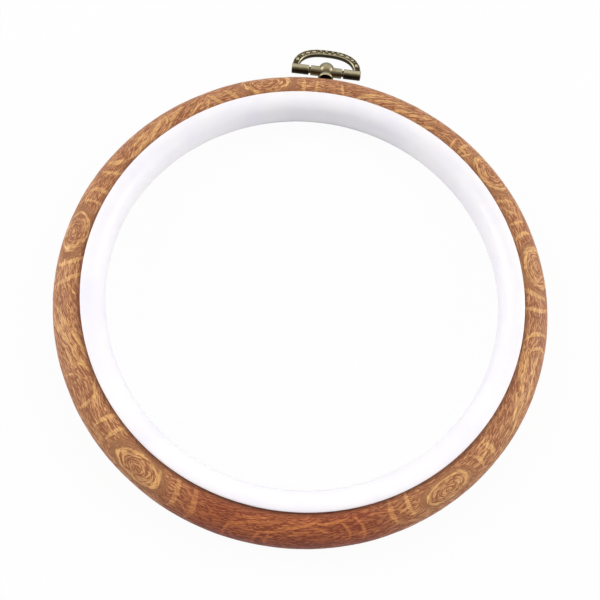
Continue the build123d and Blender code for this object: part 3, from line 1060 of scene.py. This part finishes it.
    def section_loop(self, step):
        """Points round the band's section at one step of the path: both faces and both edges."""
        angle = self.angles[step]
        along = self.length * (step / self.path_steps - 0.5)
        floor = ARCH_HALF_THICKNESS - self.relief
        near_foot = min(step, self.path_steps - step) / self.path_steps
        fade = min(1.0, near_foot / self.foot)
        scallop = 1 - SCALLOP_DEPTH * (1 - abs(sin(pi * along / SCALLOP_PITCH)))
        top = []
        for index in range(self.face_steps + 1):
            across = index / self.face_steps
            rise = self.height(along, across) * fade + (1 - fade)
            top.append((across * scallop, floor + self.relief * rise))
        outer = []
        inner = []
        inner_bulge, outer_bulge = self.edge_bulges
        for index in range(1, self.side_steps):
            share = index / self.side_steps
            bulge = sin(pi * share)
            outer.append((scallop + outer_bulge * bulge, top[-1][1] * (1 - 2 * share)))
            inner.append((-inner_bulge * bulge, -top[0][1] * (1 - 2 * share)))
        bottom = [(across, -z) for across, z in reversed(top)]
        loop = top + outer + bottom + inner
        return [self.arch_point(angle, across, z) for across, z in loop]

    def polish_and_shade(self, co):
        """High on the rims and bosses, low on the sunk floor and the edges, painted shade under the
        knuckles and painted light on their tops.
        """
        # The knuckles: painted light on top, painted shade underneath, with bright ends
        if hypot(co.y - HINGE_Y, co.z) <= KNUCKLE_RADIUS + 0.05 * MM:
            end = min(abs(abs(co.x) - KNUCKLE_START), abs(abs(co.x) - KNUCKLE_END))
            return TUBE_END_POLISH if end < KNUCKLE_EDGE * 0.8 else tube_light_and_shade(co)
        floor = ARCH_HALF_THICKNESS - self.relief
        share = (abs(co.z) - floor) / self.relief
        if share < -0.05:
            return BAND_EDGE_POLISH
        least, most = BAND_POLISH
        return min(most, max(least, 0.2 + 0.85 * share))


class HOOP_OT_small_parts(bpy.types.Operator):
    """Finishes of the hinge pin, the screw and its washer."""

    bl_idname = "hoop.small_parts"
    bl_label = "Pin, screw and washer"

    def execute(self, context):
        pin_colour = context.scene.hoop_hanger.pin
        # Dark brownish steel for the pin
        pin_steel = steel_material("dark_pin_steel", pin_colour, 0.36, (400, 9000, 9000))
        screw_colour = srgb(196, 196, 198)
        screw_steel = steel_material("bright_screw_steel", screw_colour, 0.25, (9000, 400, 9000))
        nodes = ("hinge_pin", "hanger_screw", "screw_washer")
        for node, material in zip(nodes, (pin_steel, screw_steel, screw_steel)):
            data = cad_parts[node].data
            data.materials.clear()
            data.materials.append(material)
        return {"FINISHED"}


class HOOP_OT_stage(bpy.types.Operator):
    """White floor, soft lamps and the photograph's camera."""

    bl_idname = "hoop.stage"
    bl_label = "Stage, lamps and camera"

    def execute(self, context):
        settings = context.scene.hoop_stage
        self.camera(context.scene)
        self.floor(settings)
        self.room(context.scene, settings)
        self.lamp("top_lamp", (0, 0.7, 1.1), size=2.2, power=settings.top_light)
        self.lamp("left_lamp", (-0.8, 0.1, 0.4), size=0.5, power=settings.side_light)
        self.lamp("right_lamp", (0.8, 0.1, 0.4), size=0.5, power=settings.side_light)
        context.scene.view_settings.view_transform = "Standard"
        return {"FINISHED"}

    @staticmethod
    def camera(scene):
        """The photograph's viewpoint, found from both rings' outlines in it."""
        data = bpy.data.cameras.new("camera")
        data.sensor_fit = "HORIZONTAL"
        data.angle = CAMERA_ANGLE
        data.clip_start = 0.01
        camera = bpy.data.objects.new("camera", data)
        back = Vector((0, -cos(CAMERA_ELEVATION), sin(CAMERA_ELEVATION)))
        level = Vector((1, 0, 0))
        up = back.cross(level)
        right = level * cos(CAMERA_ROLL) + up * sin(CAMERA_ROLL)
        up = back.cross(right)
        turn = Matrix.Rotation(-HOOP_TURN, 3, "Z") @ Matrix((right, up, back)).transposed()
        camera.matrix_world = Matrix.Translation(CAMERA_PLACE) @ turn.to_4x4()
        scene.collection.objects.link(camera)
        scene.camera = camera

    @staticmethod
    def floor(settings):
        """A wide floor that is white to the camera and to gloss, and still takes the shadow."""
        bm = bmesh.new()
        bmesh.ops.create_grid(bm, x_segments=1, y_segments=1, size=settings.floor_reach)
        bmesh.ops.translate(bm, vec=(0, 0, UNDERSIDE - FLOOR_GAP), verts=bm.verts)
        floor = object_from(bm, "floor")
        material, graph = material_graph("floor_white")
        nodes = graph.tree.nodes
        matt = {"Base Color": (0.8, 0.8, 0.8, 1), "Roughness": 0.9, "Specular IOR Level": 0.1}
        shader = graph.fill(nodes["Principled BSDF"], matt)
        white = graph.node("ShaderNodeEmission", {"Color": (1, 1, 1, 1), "Strength": 1.0})
        share = graph.times(seen_by_camera(graph), FLOOR_WHITENESS)
        inputs = {0: share, 1: shader.outputs[0], 2: white.outputs[0]}
        mixed = graph.node("ShaderNodeMixShader", inputs)
        graph.fill(nodes["Material Output"], {"Surface": mixed.outputs[0]})
        floor.data.materials.append(material)

    @staticmethod
    def room(scene, settings):
        """Even light from all round, and white where the camera or gloss sees past the floor."""
        world = bpy.data.worlds.new("room")
        world.use_nodes = True
        scene.world = world
        graph = Graph(world.node_tree)
        strength = graph.spread(seen_by_camera(graph), 0, 1, settings.ambient, 1.0)
        white = {"Color": (1, 1, 1, 1), "Strength": strength}
        graph.fill(world.node_tree.nodes["Background"], white)

    @staticmethod
    def lamp(name, place, size, power):
        """A square soft lamp that faces the hoop."""
        data = bpy.data.lights.new(name, "AREA")
        data.size = size
        data.energy = power
        lamp = bpy.data.objects.new(name, data)
        turn = Vector(place).to_track_quat("Z", "Y").to_matrix().to_4x4()
        lamp.matrix_world = Matrix.Translation(place) @ turn
        bpy.context.scene.collection.objects.link(lamp)


class HOOP_PT_sidebar(bpy.types.Panel):
    """The hoop's settings and the buttons that build it."""

    bl_label = "Embroidery Hoop"
    bl_space_type = "VIEW_3D"
    bl_region_type = "UI"
    bl_category = "Hoop"

    def draw(self, context):
        for settings in SETTINGS:
            box = self.layout.box()
            for name in SETTINGS[settings].__annotations__:
                box.prop(getattr(context.scene, settings), name)
        for operator in OPERATORS:
            self.layout.operator(operator.bl_idname)


SETTINGS = {
    "hoop_wood": WoodRingSettings,
    "hoop_pale": PaleRingSettings,
    "hoop_hanger": HangerSettings,
    "hoop_stage": StageSettings,
}
OPERATORS = (
    HOOP_OT_stage,
    HOOP_OT_pale_ring,
    HOOP_OT_wood_ring,
    HOOP_OT_stem,
    HOOP_OT_bail,
    HOOP_OT_small_parts,
)


def register():
    for settings, group in SETTINGS.items():
        bpy.utils.register_class(group)
        setattr(bpy.types.Scene, settings, PointerProperty(type=group))
    for operator in OPERATORS:
        bpy.utils.register_class(operator)
    bpy.utils.register_class(HOOP_PT_sidebar)


def unregister():
    bpy.utils.unregister_class(HOOP_PT_sidebar)
    for operator in reversed(OPERATORS):
        bpy.utils.unregister_class(operator)
    for settings, group in reversed(SETTINGS.items()):
        delattr(bpy.types.Scene, settings)
        bpy.utils.unregister_class(group)


def main():
    """Build the stage and every piece."""
    register()
    bronze_material(bpy.context.scene.hoop_hanger, patina_group())
    bpy.ops.hoop.stage()
    bpy.ops.hoop.pale_ring()
    bpy.ops.hoop.wood_ring()
    bpy.ops.hoop.stem()
    bpy.ops.hoop.bail()
    bpy.ops.hoop.small_parts()


if __name__ == "__main__":
    main()
